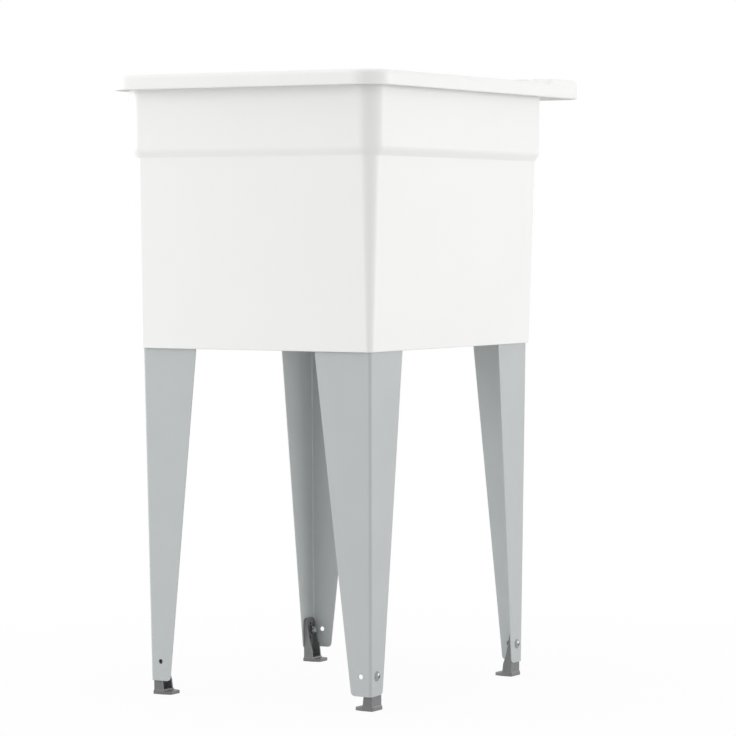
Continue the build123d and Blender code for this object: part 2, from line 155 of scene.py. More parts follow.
class Workpiece:
    """One mesh on the bench, shaped with the modelling operators."""

    def __init__(self) -> None:
        """Take up the primitive that was just added."""
        self.obj: bpy.types.Object = bpy.context.object
        self.set_down()

    @classmethod
    def block(cls, low: Place, high: Place) -> Self:
        """Start from a cube that fills a box.

        Args:
            low: The box's lowest corner.
            high: The box's highest corner.

        Returns:
            The new workpiece.
        """
        bpy.ops.object.select_all(action="DESELECT")
        size = Vector(high) - Vector(low)
        bpy.ops.mesh.primitive_cube_add(size=1, location=Vector(low) + size / 2, scale=size)
        return cls()

    @classmethod
    def rod(cls, radius: float, low: Place, length: float, axis: Axis = Axis.Z,
            sides: int = 48) -> Self:
        """Start from a cylinder.

        Args:
            radius: Its radius, to the corners.
            low: The middle of its lower end.
            length: Its length.
            axis: The axis that it stands along.
            sides: The number of its sides.

        Returns:
            The new workpiece.
        """
        bpy.ops.object.select_all(action="DESELECT")
        along, turn = axis.value
        middle = Vector(low) + Vector(along) * length / 2
        bpy.ops.mesh.primitive_cylinder_add(
            vertices=sides, radius=radius, depth=length, location=middle, rotation=turn
        )
        return cls()

    @classmethod
    def wire(cls, points: Sequence[Place], eases: Sequence[float] = ()) -> Self:
        """Start from one point and pull it out into a line of edges.

        Args:
            points: The line's corners in order. A last one equal to the first closes the line.
            eases: How far each corner is rounded back along both of its sides.

        Returns:
            The new workpiece.
        """
        bpy.ops.object.select_all(action="DESELECT")
        bpy.ops.mesh.primitive_plane_add(size=MM)
        piece = cls()
        with piece.editing():
            piece.take_all()
            bpy.ops.mesh.merge(type="CENTER")
            bpy.ops.transform.translate(value=points[0])
            for here, there in zip(points, points[1:]):
                piece.pull(Vector(there) - Vector(here))
            piece.take_all()
            bpy.ops.mesh.remove_doubles(threshold=SEAM)
            for corner, ease in zip(points, eases):
                if ease:
                    piece.pick_points(lambda point: near(point, corner))
                    bpy.ops.mesh.bevel(offset=ease, segments=EASE_STEPS, affect="VERTICES")
        return piece

    @classmethod
    def slab(cls, outline: Sequence[Place], step: Place, eases: Sequence[float] = ()) -> Self:
        """Fill a closed outline and pull it out straight.

        Args:
            outline: The outline's corners in order, with the first one again at the end.
            step: The way from this face to the opposite one.
            eases: How far each corner is rounded back along both of its sides.

        Returns:
            The new workpiece, closed, with its faces outwards.
        """
        piece = cls.wire(outline, eases)
        with piece.editing():
            piece.take_all()
            bpy.ops.mesh.edge_face_add()
            piece.pull(step)
            piece.close_seams()
        return piece

    @classmethod
    def turned(cls, profile: Sequence[Turn], steps: int = 64) -> Self:
        """Turn a profile about Z.

        Args:
            profile: Its corners in order, closed, or open with both ends on the axis.
            steps: The number of steps in a full turn.

        Returns:
            The new workpiece, closed, with its faces outwards.
        """
        places = [(corner.r, 0, corner.z) for corner in profile]
        piece = cls.wire(places, [corner.ease for corner in profile])
        with piece.editing():
            piece.take_all()
            bpy.ops.mesh.spin(steps=steps, angle=FULL_TURN, center=(0, 0, 0), axis=(0, 0, 1))
            piece.close_seams()
        return piece

    @classmethod
    def ring(cls, radii: tuple[float, float], heights: tuple[float, float], ease: float,
             steps: int = 64) -> Self:
        """Turn a flat ring about Z.

        Args:
            radii: Its inner and outer radius.
            heights: The heights of its lower and upper side.
            ease: How far its edges are rounded back.
            steps: The number of steps in a full turn.

        Returns:
            The new workpiece.
        """
        (inner, outer), (low, high) = radii, heights
        corners = ((inner, low), (outer, low), (outer, high), (inner, high), (inner, low))
        return cls.turned([Turn(r, z, ease) for r, z in corners], steps)

    @classmethod
    def hexagon(cls, across: float, heights: tuple[float, float], turn: float = 0.0,
                steps: int = 64) -> Self:
        """Start a hexagon nut, with its corners turned off at 30 degrees.

        Args:
            across: Its width across flats.
            heights: The heights of its lower and upper side.
            turn: Its turn about Z.
            steps: The number of steps in a full turn.

        Returns:
            The new workpiece, without its bore.
        """
        (low, high), flat_r = heights, across / 2
        corner_r = flat_r / math.cos(math.pi / 6)
        nut = cls.rod(corner_r, (0, 0, low), high - low, sides=6)
        with nut.editing():
            nut.take_all()
            bpy.ops.transform.rotate(value=turn, orient_axis="Z", center_override=(0, 0, 0))
        rim = corner_r + MARGIN
        slope = (rim - flat_r) * math.tan(math.pi / 6)
        return nut.combine("INTERSECT", cls.turned([
            Turn(0, low), Turn(flat_r, low), Turn(rim, low + slope), Turn(rim, high - slope),
            Turn(flat_r, high), Turn(0, high),
        ], steps))

    @classmethod
    def threaded(cls, major: float, minor: float, pitch: float, low: float, high: float,
                 steps: int = 36) -> Self:
        """Wind a ridge up Z into a threaded rod with flat ends.

        Args:
            major: The thread's outer radius.
            minor: The thread's inner radius.
            pitch: The height of one turn.
            low: The height of the lower end.
            high: The height of the upper end.
            steps: The number of steps in a turn.

        Returns:
            The new workpiece, closed, with its faces outwards.
        """
        start = low - 2 * pitch
        ridge = [(minor, 0, start), (major, 0, start + pitch / 2), (minor, 0, start + pitch)]
        piece = cls.wire(ridge)
        turns = math.ceil((high - start) / pitch) + 1
        piece.apply("SCREW", angle=FULL_TURN, screw_offset=pitch, steps=steps, render_steps=steps,
                    iterations=turns)
        with piece.editing():
            piece.take_all()
            bpy.ops.mesh.remove_doubles(threshold=SEAM)
            piece.saw((0, 0, low), (0, 0, -1))
            piece.saw((0, 0, high), (0, 0, 1))
            piece.close_seams()
        return piece

    def copy(self) -> Self:
        """Copy the piece, with a mesh of its own."""
        select_only(self.obj)
        bpy.ops.object.duplicate(linked=False)
        return type(self)()

    def set_down(self) -> None:
        """Move the object's place, turn and scale into its mesh."""
        select_only(self.obj)
        bpy.ops.object.transform_apply(location=True, rotation=True, scale=True)

    def place(self, matrix: Matrix) -> Self:
        """Move the piece.

        Args:
            matrix: Where its own frame goes.

        Returns:
            The piece itself.
        """
        self.obj.matrix_world = matrix
        bpy.context.view_layer.update()
        self.set_down()
        return self

    @contextmanager
    def editing(self) -> Iterator[None]:
        """Open the mesh with nothing selected, and close it again.

        Yields:
            Nothing.
        """
        select_only(self.obj)
        bpy.ops.object.mode_set(mode="EDIT")
        bpy.ops.mesh.select_mode(type="VERT")
        bpy.ops.mesh.select_all(action="DESELECT")
        try:
            yield
        finally:
            bpy.ops.object.mode_set(mode="OBJECT")

    @staticmethod
    def take_all() -> None:
        """Select the whole of the open mesh."""
        bpy.ops.mesh.select_all(action="SELECT")

    @staticmethod
    def pull(step: Place) -> None:
        """Extrude what is selected in the open mesh by a step."""
        bpy.ops.mesh.extrude_region_move(TRANSFORM_OT_translate={"value": step})

    def pick(self, mode: str, elements: str, test: Callable[[object], bool]) -> None:
        """Select the parts of the open mesh that pass a test.

        Args:
            mode: The select mode.
            elements: The name of the mesh's list of such parts.
            test: What a part has to pass.
        """
        bpy.ops.mesh.select_mode(type=mode)
        bpy.ops.mesh.select_all(action="DESELECT")
        shape = bmesh.from_edit_mesh(self.obj.data)
        shape.normal_update()
        for element in getattr(shape, elements):
            if test(element):
                element.select_set(True)
        shape.select_flush_mode()
        bmesh.update_edit_mesh(self.obj.data)

    def pick_points(self, test: Callable[[Vector], bool]) -> None:
        """Select the points whose place passes a test."""
        self.pick("VERT", "verts", lambda vert: test(vert.co))

    def pick_edges(self, test: Callable[[Vector, Vector], bool]) -> None:
        """Select the edges whose two ends pass a test."""
        self.pick("EDGE", "edges", lambda edge: test(edge.verts[0].co, edge.verts[1].co))

    def pick_faces(self, test: Callable[[Vector, Vector], bool]) -> None:
        """Select the faces whose middle and normal pass a test."""
        self.pick("FACE", "faces", lambda face: test(face.calc_center_median(), face.normal))

    def saw(self, point: Place, waste: Place) -> None:
        """Cut the open mesh through a plane at a point, and close it where the waste falls off."""
        self.take_all()
        bpy.ops.mesh.bisect(plane_co=point, plane_no=waste, use_fill=True, clear_outer=True,
                            threshold=SAWN)

    def close_seams(self) -> None:
        """Merge doubles in the open mesh and point its faces outwards."""
        self.take_all()
        bpy.ops.mesh.remove_doubles(threshold=SEAM)
        bpy.ops.mesh.normals_make_consistent(inside=False)

    def apply(self, kind: str, **settings: object) -> None:
        """Add a modifier and apply it.

        Args:
            kind: The modifier's type.
            **settings: Its settings.
        """
        select_only(self.obj)
        modifier = self.obj.modifiers.new(kind.lower(), kind)
        for setting, value in settings.items():
            setattr(modifier, setting, value)
        bpy.ops.object.modifier_apply(modifier=modifier.name)

    def combine(self, operation: str, other: Self) -> Self:
        """Combine the piece with another one, which is used up.

        Args:
            operation: DIFFERENCE, UNION or INTERSECT.
            other: The other piece.

        Returns:
            The piece itself.
        """
        self.apply("BOOLEAN", operation=operation, solver="EXACT", object=other.obj)
        bpy.data.objects.remove(other.obj)
        return self

    def cut(self, *others: Self) -> Self:
        """Cut other pieces out of this one, and return it."""
        for other in others:
            self.combine("DIFFERENCE", other)
        return self

    def join(self, *others: Self) -> Self:
        """Weld other pieces to this one, and return it."""
        for other in others:
            self.combine("UNION", other)
        return self

    def soften(self, width: float = 0.0) -> Self:
        """Round the hard edges and shade the rest smooth.

        Args:
            width: How far an edge is rounded back. Nothing is rounded at 0.

        Returns:
            The piece itself.
        """
        if width:
            self.apply("BEVEL", width=width, segments=EDGE_STEPS, limit_method="ANGLE",
                       angle_limit=SMOOTH_ANGLE)
        select_only(self.obj)
        bpy.ops.object.shade_smooth_by_angle(angle=SMOOTH_ANGLE)
        self.apply("WEIGHTED_NORMAL", keep_sharp=True)
        return self


# ---- Finishes ----
Color = tuple[float, float, float]
Socket = bpy.types.NodeSocket
MIX_FIRST, MIX_SECOND, MIX_RESULT = 6, 7, 2  # the colour sockets of a Mix node


class Graph:
    """A node tree that is being wired."""

    def __init__(self, tree: bpy.types.NodeTree) -> None:
        """Start on a tree."""
        self.tree = tree

    def add(self, kind: str, inputs: dict[str, object] | None = None, **settings: object) -> bpy.types.Node:
        """Add a node.

        Args:
            kind: The node's type, without its ShaderNode prefix.
            inputs: A value, or a socket to link, for each input named.
            **settings: The node's own settings.

        Returns:
            The new node.
        """
        node = self.tree.nodes.new("ShaderNode" + kind)
        for setting, value in settings.items():
            setattr(node, setting, value)
        self.feed(node, inputs or {})
        return node

    def feed(self, node: bpy.types.Node, inputs: dict[str, object]) -> None:
        """Set or link a node's inputs.

        Args:
            node: The node.
            inputs: A value, or a socket to link, for each input named.
        """
        for name, value in inputs.items():
            socket = node.inputs[name]
            if isinstance(value, Socket):
                self.tree.links.new(value, socket)
            else:
                socket.default_value = value

    def math(self, operation: str, first: object, second: object, **settings: object) -> Socket:
        """Add a sum of two values or sockets, and return its result."""
        return self.add("Math", {0: first, 1: second}, operation=operation, **settings).outputs[0]


def effect_group(name: str, inputs: dict[str, float],
                 output: str) -> tuple[Graph, bpy.types.Node, bpy.types.Node]:
    """Start a shared effect: a node group with a vector, some numbers in and a number out.

    Args:
        name: The group's name.
        inputs: Its number inputs, with their defaults.
        output: The name of its output.

    Returns:
        The group's graph, its input node and its output node.
    """
    tree = bpy.data.node_groups.new(name, "ShaderNodeTree")
    tree.interface.new_socket(name="Vector", in_out="INPUT", socket_type="NodeSocketVector")
    for label, value in inputs.items():
        socket = tree.interface.new_socket(name=label, in_out="INPUT", socket_type="NodeSocketFloat")
        socket.default_value = value
    tree.interface.new_socket(name=output, in_out="OUTPUT", socket_type="NodeSocketFloat")
    return Graph(tree), tree.nodes.new("NodeGroupInput"), tree.nodes.new("NodeGroupOutput")


@cache
def drift_group() -> bpy.types.NodeTree:
    """Soft cloudy variation from 0 to 1, for uneven colour and gloss.

    Returns:
        The group, built once.
    """
    graph, source, result = effect_group("surface_drift", {"Scale": 8.0, "Contrast": 1.0}, "Mask")
    broad = graph.add("TexNoise", {"Vector": source.outputs["Vector"], "Scale": source.outputs["Scale"],
                                   "Detail": 3.0, "Roughness": 0.55})
    centred = graph.math("SUBTRACT", broad.outputs["Fac"], 0.5)
    spread = graph.math("MULTIPLY", centred, source.outputs["Contrast"])
    graph.feed(result, {"Mask": graph.math("ADD", spread, 0.5, use_clamp=True)})
    return graph.tree


@cache
def grain_group() -> bpy.types.NodeTree:
    """Fine pebbled height from 0 to 1, as on moulded plastic and sprayed powder.

    Returns:
        The group, built once.
    """
    graph, source, result = effect_group("fine_grain", {"Scale": 900.0, "Pebble": 0.5}, "Height")
    vector, scale = source.outputs["Vector"], source.outputs["Scale"]
    fine = graph.add("TexNoise", {"Vector": vector, "Scale": scale, "Detail": 2.0})
    cells = graph.add("TexVoronoi", {"Vector": vector, "Scale": scale}, feature="SMOOTH_F1")
    mixed = graph.add("Mix", {"Factor": source.outputs["Pebble"], "A": fine.outputs["Fac"],
                              "B": cells.outputs["Distance"]})
    graph.feed(result, {"Height": mixed.outputs["Result"]})
    return graph.tree


@cache
def streak_group() -> bpy.types.NodeTree:
    """Fine parallel scratches from 0 to 1 along X, as brushing and plating leave them.

    Returns:
        The group, built once.
    """
    graph, source, result = effect_group("fine_streaks", {"Scale": 600.0, "Stretch": 0.05}, "Mask")
    squeeze = graph.add("CombineXYZ", {"X": source.outputs["Stretch"], "Y": 1.0, "Z": 1.0})
    scaled = graph.add("VectorMath", {0: source.outputs["Vector"], 1: squeeze.outputs[0]},
                       operation="MULTIPLY")
    streaks = graph.add("TexNoise", {"Vector": scaled.outputs[0], "Scale": source.outputs["Scale"],
                                     "Detail": 4.0, "Roughness": 0.6})
    graph.feed(result, {"Mask": streaks.outputs["Fac"]})
    return graph.tree


@dataclass(frozen=True)
class Finish:
    """A surface finish.

    Args:
        name: The material's name.
        slot: The record's slot that it belongs to. It is not used.
        color: Its main colour, linear.
        second: The colour that it drifts to.
        roughness: Its roughness where it is glossiest.
        dullest: Its roughness where it is dullest.
        drift: How many clouds of uneven colour and gloss lie in a metre.
        contrast: How strongly the clouds stand out.
        grain: How many grains of its texture lie in a metre.
        grain_height: The height of the texture.
        pebble: From 0, a wavy texture, to 1, a pebbled one.
        specular: How strongly it mirrors, where 0.5 is plain.
    """

    name: str
    slot: str
    color: Color
    second: Color
    roughness: float
    dullest: float
    drift: float = 8.0
    contrast: float = 1.5
    grain: float = 900.0
    grain_height: float = 0.01 * MM
    pebble: float = 0.4
    specular: float = 0.5

    @cache
    def material(self) -> bpy.types.Material:
        """The finish's material, built once."""
        made = bpy.data.materials.new(self.name)
        made.use_nodes = True
        self.wire(Graph(made.node_tree), made.node_tree.nodes["Principled BSDF"])
        return made

    def wire(self, graph: Graph, shader: bpy.types.Node) -> None:
        """Wire the finish into its shader.

        Args:
            graph: The material's graph.
            shader: The Principled BSDF.
        """
        place = graph.add("TexCoord").outputs["Object"]
        mask = self.mask(graph, place)
        color = graph.add("Mix", {"Factor": mask}, data_type="RGBA")
        color.inputs[MIX_FIRST].default_value = (*self.color, 1.0)
        color.inputs[MIX_SECOND].default_value = (*self.second, 1.0)
        gloss = graph.add("MapRange", {"Value": mask, "To Min": self.roughness, "To Max": self.dullest})
        grain = graph.add("Group", {"Vector": place, "Scale": self.grain, "Pebble": self.pebble},
                          node_tree=grain_group())
        bump = graph.add("Bump", {"Height": grain.outputs["Height"], "Distance": self.grain_height,
                                  "Strength": 1.0})
        graph.feed(shader, {"Base Color": color.outputs[MIX_RESULT], "Roughness": gloss.outputs["Result"],
                            "Normal": bump.outputs["Normal"], "Specular IOR Level": self.specular})

    def mask(self, graph: Graph, place: Socket) -> Socket:
        """Wire where the second colour and the dull gloss lie.

        Args:
            graph: The material's graph.
            place: The socket with the object coordinates.

        Returns:
            The mask's socket.
        """
        drift = graph.add("Group", {"Vector": place, "Scale": self.drift, "Contrast": self.contrast},
                          node_tree=drift_group())
        return drift.outputs["Mask"]


@dataclass(frozen=True)
class MetalFinish(Finish):
    """A bare metal finish, brushed or plated.

    Args:
        streaks: How many scratches lie in a metre, across them.
        stretch: A scratch's width over its length.
    """

    streaks: float = 900.0
    stretch: float = 0.04

    def wire(self, graph: Graph, shader: bpy.types.Node) -> None:
        """Wire the finish into its shader, as metal."""
        super().wire(graph, shader)
        shader.inputs["Metallic"].default_value = 1.0

    def mask(self, graph: Graph, place: Socket) -> Socket:
        """Wire the scratches, between broad clouds, as the mask."""
        clouds = super().mask(graph, place)
        streaks = graph.add("Group", {"Vector": place, "Scale": self.streaks, "Stretch": self.stretch},
                            node_tree=streak_group())
        return graph.math("MULTIPLY", graph.math("ADD", clouds, streaks.outputs["Mask"]), 0.5)


MOULDED_WHITE = Finish("moulded_white", "tub", (0.862, 0.865, 0.845), (0.845, 0.848, 0.828), 0.36, 0.44,
                       drift=5.0, grain=700.0, grain_height=0.012 * MM)
POWDER_COAT = Finish("grey_powder_coat", "leg", (0.479, 0.505, 0.507), (0.454, 0.479, 0.481), 0.42, 0.52,
                     drift=12.0, grain=1400.0, grain_height=0.02 * MM, pebble=0.6)
FOOT_PLASTIC = Finish("dark_foot_plastic", "foot", (0.137, 0.139, 0.142), (0.119, 0.121, 0.124), 0.34, 0.46,
                      drift=60.0, grain=1800.0, grain_height=0.02 * MM, specular=0.85)
ZINC = MetalFinish("bright_zinc", "zinc", (0.38, 0.385, 0.395), (0.25, 0.255, 0.27), 0.16, 0.3,
                   drift=150.0, grain=2500.0, grain_height=0.006 * MM)
STAINLESS = MetalFinish("brushed_stainless", "drain_steel", (0.68, 0.69, 0.70), (0.56, 0.57, 0.58),
                        0.2, 0.36, drift=40.0, grain=2500.0, grain_height=0.004 * MM)
GASKET_RUBBER = Finish("gasket_rubber", "gasket", (0.03, 0.03, 0.03), (0.045, 0.045, 0.045), 0.55, 0.7,
                       drift=60.0, grain=1500.0, grain_height=0.03 * MM)
PRESSED_FIBRE = Finish("pressed_fibre", "fibre", (0.33, 0.21, 0.12), (0.24, 0.15, 0.08), 0.75, 0.9,
                       drift=300.0, contrast=3.0, grain=1200.0, grain_height=0.05 * MM)
NUT_PLASTIC = Finish("pale_nut_plastic", "locknut", (0.62, 0.62, 0.60), (0.57, 0.57, 0.55), 0.4, 0.5,
                     drift=40.0, grain=1500.0)
STOPPER_RUBBER = Finish("stopper_rubber", "stopper", (0.04, 0.04, 0.042), (0.055, 0.055, 0.057), 0.5, 0.65,
                        drift=50.0, grain=1200.0, grain_height=0.02 * MM)


def fit_out(piece: Workpiece, name: str, finish: Finish, body: str, *nodes: str) -> None:
    """Give a piece its name, its finish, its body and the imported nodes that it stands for.

    Args:
        piece: The finished workpiece.
        name: Its name.
        finish: Its finish.
        body: The body that it moves with.
        *nodes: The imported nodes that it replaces.
    """
    piece.obj.name = piece.obj.data.name = name
    piece.obj.data.materials.clear()
    piece.obj.data.materials.append(finish.material())
    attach(piece.obj, body)
    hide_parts(*nodes)
    faces = len(piece.obj.data.polygons)
    log.info("%s: %d faces in %s, on %s", name, faces, finish.name, body)


# ---- Sub-assemblies ----
@dataclass(frozen=True)
class Stance:
    """Where the legs stand under the tub, and how they lean.

    Args:
        corner_x: The legs' outer corners at the tub's bottom edge, from the middle.
        corner_y: The same, front to back.
        side_lean: Their lean outwards to the sides.
        front_lean: The front legs' lean forwards.
        back_lean: The back legs' lean backwards.
        hole_in: The screw holes, in from the legs' outer faces.
        hole_drop: The screw holes, down from the tub's bottom edge.
    """

    corner_x: float = 183.3 * MM
    corner_y: float = 229.1 * MM
    side_lean: float = math.radians(0.66)
    front_lean: float = math.radians(1.32)
    back_lean: float = math.radians(0.32)
    hole_in: float = 16.5 * MM
    hole_drop: float = 440.2 * MM

    def leaning(self, corner: Corner) -> Matrix:
        """Frame at a leg's outer corner, on the tub's bottom edge, that leans with the leg.

        Args:
            corner: The leg's corner.

        Returns:
            The frame's matrix.
        """
        low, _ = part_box("tub")
        drain_low, drain_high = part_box("drain_body")
        drain_y = (drain_low.y + drain_high.y) / 2
        foot = Vector((corner.side * self.corner_x, drain_y + corner.end * self.corner_y, low.z))
        lean = self.front_lean if corner.end < 0 else self.back_lean
        forwards = Matrix.Rotation(-corner.end * lean, 4, "X")
        sideways = Matrix.Rotation(corner.side * self.side_lean, 4, "Y")
        return Matrix.Translation(foot) @ forwards @ sideways

    def leg(self, corner: Corner) -> Matrix:
        """Frame of a leg, with its flanges along X and Y."""
        around = (Corner.FRONT_LEFT, Corner.FRONT_RIGHT, Corner.BACK_RIGHT, Corner.BACK_LEFT)
        return self.leaning(corner) @ Matrix.Rotation(around.index(corner) * math.pi / 2, 4, "Z")

    def screw(self, corner: Corner) -> Matrix:
        """Frame of a foot's screw, with X inwards from the side flange's outer face.

        Args:
            corner: The foot's corner.

        Returns:
            The frame's matrix.
        """
        at = Matrix.Translation((0, -corner.end * self.hole_in, -self.hole_drop))
        inwards = Matrix.Rotation(0 if corner.side < 0 else math.pi, 4, "Z")
        return self.leaning(corner) @ at @ inwards


@dataclass
class Tub:
    """The moulded tub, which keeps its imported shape."""

    finish: Finish = MOULDED_WHITE

    def build(self) -> None:
        """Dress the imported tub."""
        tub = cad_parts["tub"]
        for holder in tub.material_slots:
            holder.material = self.finish.material()
        log.info("tub: %d packed faces in %s", len(tub.data.polygons), self.finish.name)


@dataclass
class Legs:
    """Four angle legs bent from sheet, tapered below the tub."""

    stance: Stance
    finish: Finish = POWDER_COAT
    sheet: float = 1.5 * MM
    bend: float = 4.0 * MM
    bend_steps: int = 8
    top_width: float = 88.0 * MM
    bottom_width: float = 31.4 * MM
    in_socket: float = 40.0 * MM
    drop: float = 467.2 * MM  # from the tub's bottom edge to the bottom of the leg
    corner_ease: float = 5.3 * MM
    corner_steps: int = 6
    hole_r: float = 3.4 * MM
    edge_ease: float = 0.25 * MM

    def blank(self) -> Workpiece:
        """Cut, bend and thicken the sheet of one leg in its own frame.

        Returns:
            The leg, with its outer corner along Z.
        """
        width, low = self.top_width, -self.drop
        height = self.in_socket + self.drop
        bpy.ops.object.select_all(action="DESELECT")
        bpy.ops.mesh.primitive_plane_add(size=1, rotation=(math.pi / 2, 0, 0))
        leg = Workpiece()
        narrower = self.bottom_width - width
        with leg.editing():
            leg.take_all()
            bpy.ops.transform.resize(value=(width, 1, height), center_override=(0, 0, 0))
            bpy.ops.transform.translate(value=(width / 2, 0, low + height / 2))
            bpy.ops.mesh.bisect(plane_co=(0, 0, 0), plane_no=(0, 0, 1), threshold=SEAM)
            leg.pick_points(lambda point: near(point, (width, 0, low)))
            bpy.ops.transform.translate(value=(narrower, 0, 0))
            leg.pick_edges(lambda a, b: level(a.x, b.x, 0))
            leg.pull((0, width, 0))
            leg.pick_points(lambda point: near(point, (0, width, low)))
            bpy.ops.transform.translate(value=(0, narrower, 0))
            leg.pick_edges(lambda a, b: level(a.x, b.x, 0) and level(a.y, b.y, 0))
            bpy.ops.mesh.bevel(offset=self.bend, segments=self.bend_steps, affect="EDGES")
            for end in ((self.bottom_width, 0, low), (0, self.bottom_width, low)):
                leg.pick_points(lambda point: near(point, end))
                bpy.ops.mesh.bevel(offset=self.corner_ease, segments=self.corner_steps,
                                   affect="VERTICES")
            leg.close_seams()
            self.face_out(leg)
        leg.apply("SOLIDIFY", thickness=self.sheet, offset=-1.0, use_even_offset=True)
        return leg

    @staticmethod
    def face_out(leg: Workpiece) -> None:
        """Turn the open sheet so that its faces point away from the leg's inside."""
        shape = bmesh.from_edit_mesh(leg.obj.data)
        shape.normal_update()
        largest = max(shape.faces, key=lambda face: face.calc_area())
        if largest.normal.x + largest.normal.y > 0:
            leg.take_all()
            bpy.ops.mesh.flip_normals()

    def drilled(self) -> Workpiece:
        """The blank with its two screw holes and its edges taken off."""
        leg = self.blank()
        through = 4 * self.sheet
        inset, height = self.stance.hole_in, -self.stance.hole_drop
        across = Workpiece.rod(self.hole_r, (-through / 2, inset, height), through, Axis.X)
        along = Workpiece.rod(self.hole_r, (inset, -through / 2, height), through, Axis.Y)
        return leg.cut(across, along).soften(self.edge_ease)

    def build(self) -> None:
        """Make one leg, and stand a copy of it at each corner."""
        master = self.drilled()
        for corner in Corner:
            leg = master.copy().place(self.stance.leg(corner))
            fit_out(leg, "angle_leg_" + corner.label, self.finish, "root", "leg_" + corner.label)
        bpy.data.objects.remove(master.obj)


@dataclass
class Feet:
    """Four levelling feet: a slotted upright with two cheeks, on a flat base plate."""

    stance: Stance
    finish: Finish = FOOT_PLASTIC
    width: float = 26.0 * MM
    shift: float = 1.2 * MM  # beyond the screw, away from the leg's corner
    web: float = 3.0 * MM
    web_outer: float = 1.6 * MM  # the web's outer face, in from the leg's outer face
    cheek: float = 2.5 * MM
    top: float = 17.9 * MM  # above the screw
    ankle: float = -28.6 * MM
    shoulder: float = -16.6 * MM
    depth_low: float = 14.8 * MM
    depth_ankle: float = 13.3 * MM
    depth_high: float = 9.0 * MM
    ankle_ease: float = 2.5 * MM
    shoulder_ease: float = 1.7 * MM
    top_ease: float = 6.0 * MM
    top_steps: int = 7
    sole_drop: float = 46.6 * MM  # below the screw, along the leg
    slot_r: float = 3.45 * MM
    slot_mid: float = -1.0 * MM
    slot_half: float = 9.0 * MM  # between the centres of the slot's ends, halved
    slot_sides: int = 32
    base_reach: float = 27.2 * MM  # base from the web's outer face, inwards
    base_outside: float = 1.4 * MM  # base beyond the web's outer face
    base_side: float = 1.4 * MM  # base beyond the cheeks
    base_toe_width: float = 22.2 * MM  # width of the base at its inner end
    base_thickness: float = 4.6 * MM
    base_corner: float = 1.5 * MM
    base_round: float = 0.5 * MM
    base_steps: int = 3
    collar_height: float = 2.0 * MM
    collar_low: float = 0.8 * MM  # collar beyond the upright, at the plate
    collar_high: float = 0.2 * MM
    edge_ease: float = 0.35 * MM

    def upright(self, away: int) -> Workpiece:
        """The slotted upright, in the frame of the screw, from the web's outer face.

        Args:
            away: 1 or -1, the way along Y that leads from the leg's corner.

        Returns:
            The upright, with its channel open inwards and at the top.
        """
        low = self.base_thickness / 2 - self.sole_drop
        half = self.width / 2
        profile = [
            (0, -half, low), (self.depth_low, -half, low), (self.depth_ankle, -half, self.ankle),
            (self.depth_high, -half, self.shoulder), (self.web, -half, self.top), (0, -half, self.top),
            (0, -half, low),
        ]
        eases = (0, 0, self.ankle_ease, self.shoulder_ease)
        upright = Workpiece.slab(profile, (0, self.width, 0), eases)
        with upright.editing():
            upright.pick_edges(lambda a, b: level(a.z, b.z, self.top) and level(abs(a.y), abs(b.y), half)
                               and level(a.y, b.y))
            bpy.ops.mesh.bevel(offset=self.top_ease, segments=self.top_steps, affect="EDGES")
        inner = half - self.cheek
        channel = Workpiece.block((self.web, -inner, low - MARGIN),
                                  (2 * self.depth_low, inner, self.top + MARGIN))
        upright.cut(channel).place(Matrix.Translation((0, away * self.shift, 0)))
        return upright.cut(self.slot())

    def slot(self) -> Workpiece:
        """The body of the slot that the screw passes through.

        Returns:
            A rod along X, pulled apart into a slot.
        """
        slot = Workpiece.rod(self.slot_r, (-self.web, 0, 0), 3 * self.web, Axis.X, self.slot_sides)
        with slot.editing():
            for way in (-1, 1):
                slot.pick_points(lambda point: way * point.z > SAME_PLACE)
                bpy.ops.transform.translate(value=(0, 0, way * self.slot_half))
            slot.pick_points(lambda point: abs(point.z) < SAME_PLACE)
            bpy.ops.mesh.dissolve_verts()
            slot.take_all()
            bpy.ops.transform.translate(value=(0, 0, self.slot_mid))
        return slot

    def base(self) -> Workpiece:
        """The base plate with its collar, on the floor, with X inwards from the web's outer face.

        Returns:
            The base plate.
        """
        half, toe = self.width / 2 + self.base_side, self.base_toe_width / 2
        outline = [
            (-self.base_outside, -half, 0), (self.depth_low, -half, 0), (self.base_reach, -toe, 0),
            (self.base_reach, toe, 0), (self.depth_low, half, 0), (-self.base_outside, half, 0),
            (-self.base_outside, -half, 0),
        ]
        plate = Workpiece.slab(outline, (0, 0, self.base_thickness))
        with plate.editing():
            plate.pick_edges(lambda a, b: level(a.x, b.x) and level(a.y, b.y)
                             and not level(a.x, self.depth_low))
            bpy.ops.mesh.bevel(offset=self.base_corner, segments=EASE_STEPS, affect="EDGES")
            plate.pick_edges(lambda a, b: level(a.z, b.z, self.base_thickness))
            bpy.ops.mesh.bevel(offset=self.base_round, segments=self.base_steps, affect="EDGES")
        low_x, low_y = self.depth_low + 2 * self.collar_low, self.width + 2 * self.collar_low
        high_x, high_y = self.depth_low + 2 * self.collar_high, self.width + 2 * self.collar_high
        collar = Workpiece.block((-self.collar_low, -low_y / 2, self.base_thickness / 2),
                                 (low_x - self.collar_low, low_y / 2, self.base_thickness))
        with collar.editing():
            collar.pick_faces(lambda middle, normal: normal.z > FACING)
            collar.pull((0, 0, self.collar_height))
            bpy.ops.transform.resize(value=(high_x / low_x, high_y / low_y, 1),
                                     center_override=(self.depth_low / 2, 0, 0))
        return plate.join(collar)

